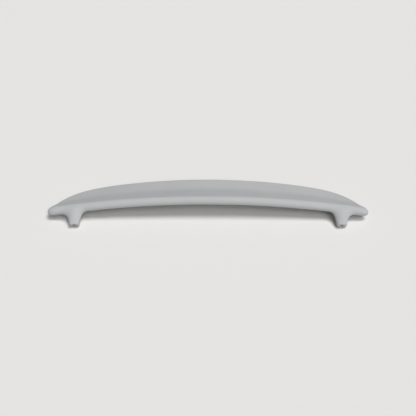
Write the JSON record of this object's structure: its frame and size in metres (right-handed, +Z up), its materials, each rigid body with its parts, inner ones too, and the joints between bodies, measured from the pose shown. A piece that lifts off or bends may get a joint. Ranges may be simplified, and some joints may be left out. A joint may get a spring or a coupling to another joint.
{
  "type": "rear spoiler",
  "caption": "Car rear spoiler: a bowed blade with a rounded nose and a dished top, on short flared legs with threaded inserts in their feet.",
  "frame": {"origin": "on the ground, below the middle of the spoiler's overall box", "axes": "+X across the car, from the spoiler's left end to its right end as seen from its nose side, +Y to the rear, +Z up as the spoiler stands"},
  "size_m": [1.268, 0.2592, 0.1017],
  "materials": {
    "primer": "satin grey primer on a smooth moulding",
    "insert_brass": "turned, slightly dull"
  },
  "bodies": {
    "root": {"wing_body": "primer", "mounting_inserts": "insert_brass"}
  },
  "joints": []
}
